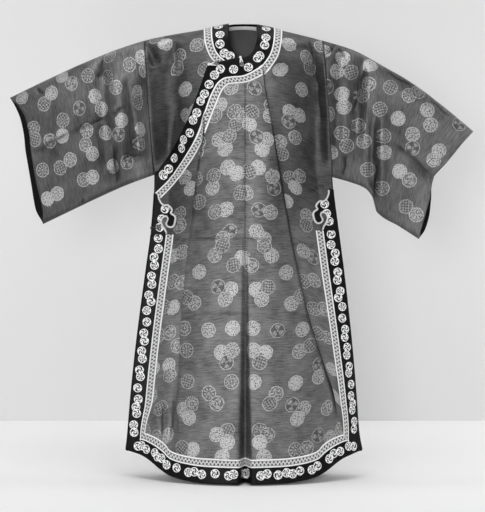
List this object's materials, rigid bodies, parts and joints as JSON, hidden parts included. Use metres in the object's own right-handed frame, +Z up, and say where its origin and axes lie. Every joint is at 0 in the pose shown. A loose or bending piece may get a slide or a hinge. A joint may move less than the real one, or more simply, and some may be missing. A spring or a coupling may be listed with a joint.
{
  "type": "tapestry-woven robe",
  "caption": "Wide-sleeved silk tapestry robe with a slanting side overlap, satin borders, ribbon trim and side slits, filled out as worn.",
  "frame": {"origin": "middle of the neck opening at the height of the shoulders, where the wearer holds the robe up", "axes": "+X to the viewer's right across the front, -Y out of the front, +Z up"},
  "size_m": [1.39, 0.2659, 1.3574],
  "materials": {
    "tapestry": "mid-grey silk tapestry with paler flower roundels, low sheen",
    "satin": "black silk satin with pale woven roundels",
    "ribbon": "pale woven ribbon with dark dots",
    "facing": "dark plain silk",
    "tape": "pale cotton tape",
    "button_metal": "worn metal ball"
  },
  "bodies": {
    "root": {"front_left": "tapestry", "front_right": "tapestry", "underlap": "tapestry", "back_left": "tapestry", "back_right": "tapestry", "sleeve_left": "tapestry", "sleeve_right": "tapestry", "border_front": "satin", "border_back": "satin", "overlap_band": "satin", "neck_band_under": "satin", "neck_band_back": "satin", "loop_neck": "satin", "loop_collar": "satin", "loop_side": "satin", "ribbon_front": "ribbon", "ribbon_back": "ribbon", "overlap_ribbon": "ribbon", "neck_ribbon_under": "ribbon", "neck_ribbon_back": "ribbon", "cloud_piping_front_left": "ribbon", "cloud_piping_front_right": "ribbon", "cloud_piping_back_left": "ribbon", "cloud_piping_back_right": "ribbon", "cuff_facing_left": "facing", "cuff_facing_right": "facing", "neck_facing": "facing", "neck_tape": "tape", "button_neck": "button_metal", "button_collar": "button_metal", "button_side": "button_metal"}
  },
  "joints": []
}
